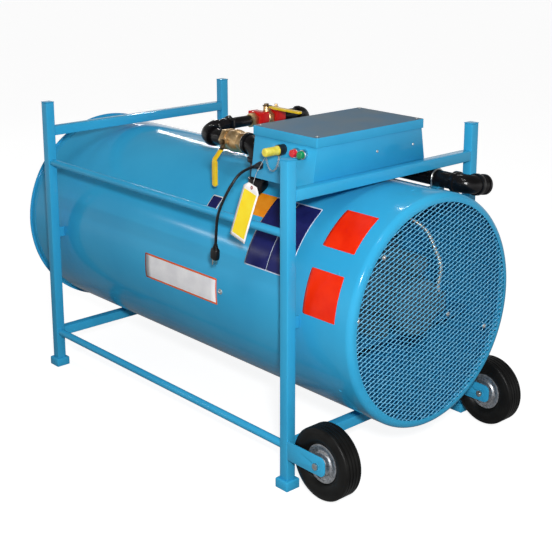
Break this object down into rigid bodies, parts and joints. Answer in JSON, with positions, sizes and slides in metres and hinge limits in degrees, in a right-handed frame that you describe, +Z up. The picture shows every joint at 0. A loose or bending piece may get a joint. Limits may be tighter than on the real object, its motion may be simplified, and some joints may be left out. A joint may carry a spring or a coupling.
{
  "type": "forced air heater",
  "caption": "Portable drum-shaped forced air heater with a gas burner and fan, in a square-tube frame with feet and tipping wheels, a control box and a gas train on top.",
  "frame": {"origin": "on the floor, under the middle of the machine's whole length and width", "axes": "+X along the drum towards the air intake and the wheels, +Z up, -Y towards the side with the control buttons"},
  "size_m": [2.005, 0.9968, 1.2],
  "materials": {
    "blue_paint": "gloss enamel",
    "bright_fan": "satin",
    "motor_paint": "satin",
    "galvanised": "galvanised",
    "heat_steel": "heat tinted",
    "black_iron": "black malleable iron",
    "red_enamel": "red enamel",
    "brass": "cast",
    "yellow_handle": "yellow vinyl over steel",
    "zinc": "zinc plated",
    "wheel_rim": "zinc plated",
    "tyre_rubber": "ribbed",
    "black_plastic": "moulded",
    "grey_plastic": "moulded",
    "red_plastic": "gloss",
    "green_plastic": "gloss",
    "yellow_rubber": "moulded",
    "black_rubber": "moulded",
    "tag_card": "coated card",
    "bead_steel": "bright"
  },
  "bodies": {
    "heater": {"corner_posts": "blue_paint", "post_caps": "blue_paint", "feet": "blue_paint", "upper_cross_tubes": "blue_paint", "lower_cross_tubes": "blue_paint", "upper_side_rails": "blue_paint", "lower_side_rails": "blue_paint", "drum_tabs": "blue_paint", "wheel_arms": "blue_paint", "axle_bolts": "zinc", "drum_shell": "blue_paint", "discharge_rim": "blue_paint", "intake_collar": "blue_paint", "intake_guard": "blue_paint", "fan_bulkhead": "blue_paint", "motor_body": "motor_paint", "motor_bracket": "blue_paint", "motor_conduit": "galvanised", "combustion_liner": "heat_steel", "burner_head": "heat_steel", "burner_riser": "black_iron", "electrodes": "heat_steel", "inlet_adaptor": "black_iron", "inlet_elbow": "black_iron", "inlet_pipe": "black_iron", "inlet_riser": "black_iron", "crossing_pipes": "black_iron", "gas_control_valves": "red_enamel", "brass_fittings": "brass", "ball_valve_bodies": "brass", "valve_union": "black_iron", "supply_elbow": "black_iron", "burner_drop": "black_iron", "drum_bushing": "black_iron", "pipe_saddle": "blue_paint", "u_bolt": "zinc", "control_box_body": "blue_paint", "control_box_lid": "blue_paint", "cover_screws": "zinc", "box_stand": "blue_paint", "control_modules": "grey_plastic", "button_bezels": "black_plastic", "receptacle": "black_plastic", "bead_chain": "bead_steel", "cord_grip": "black_plastic", "power_cord": "black_rubber", "power_plug": "black_rubber", "hang_tag": "tag_card", "tag_wire": "zinc"},
    "near_wheel": {"tyre_near": "tyre_rubber", "rim_near": "wheel_rim"},
    "far_wheel": {"tyre_far": "tyre_rubber", "rim_far": "wheel_rim"},
    "fan": {"fan_shaft": "zinc", "fan_wheel": "bright_fan"},
    "main_handle": {"main_valve_lever": "yellow_handle"},
    "small_handle": {"small_valve_lever": "yellow_handle"},
    "red_push": {"red_button": "red_plastic"},
    "green_push": {"green_button": "green_plastic"},
    "cap": {"watertight_cap": "yellow_rubber"}
  },
  "joints": [
    {"name": "near_wheel_spin", "type": "hinge", "parent": "heater", "child": "near_wheel", "pos_m": [0.8755, -0.431, 0.145], "axis": [0, 1, 0], "continuous": true},
    {"name": "far_wheel_spin", "type": "hinge", "parent": "heater", "child": "far_wheel", "pos_m": [0.8755, 0.431, 0.145], "axis": [0, 1, 0], "continuous": true},
    {"name": "fan_spin", "type": "hinge", "parent": "heater", "child": "fan", "pos_m": [0.5275, 0, 0.58455], "axis": [1, 0, 0], "continuous": true},
    {"name": "main_valve_turn", "type": "hinge", "parent": "heater", "child": "main_handle", "pos_m": [0.1575, -0.273, 1.094], "axis": [0, -1, 0], "range_deg": [0, 90]},
    {"name": "small_valve_turn", "type": "hinge", "parent": "heater", "child": "small_handle", "pos_m": [0.0175, 0.065, 1.17], "axis": [0, 0, -1], "range_deg": [0, 90]},
    {"name": "red_button_press", "type": "slide", "parent": "heater", "child": "red_push", "axis": [0, 1, 0], "range_m": [0, 0.004], "stiffness_N_per_m": 300},
    {"name": "green_button_press", "type": "slide", "parent": "heater", "child": "green_push", "axis": [0, 1, 0], "range_m": [0, 0.004], "stiffness_N_per_m": 300},
    {"name": "cap_pull", "type": "slide", "parent": "heater", "child": "cap", "axis": [0, -1, 0], "range_m": [0, 0.03]}
  ]
}
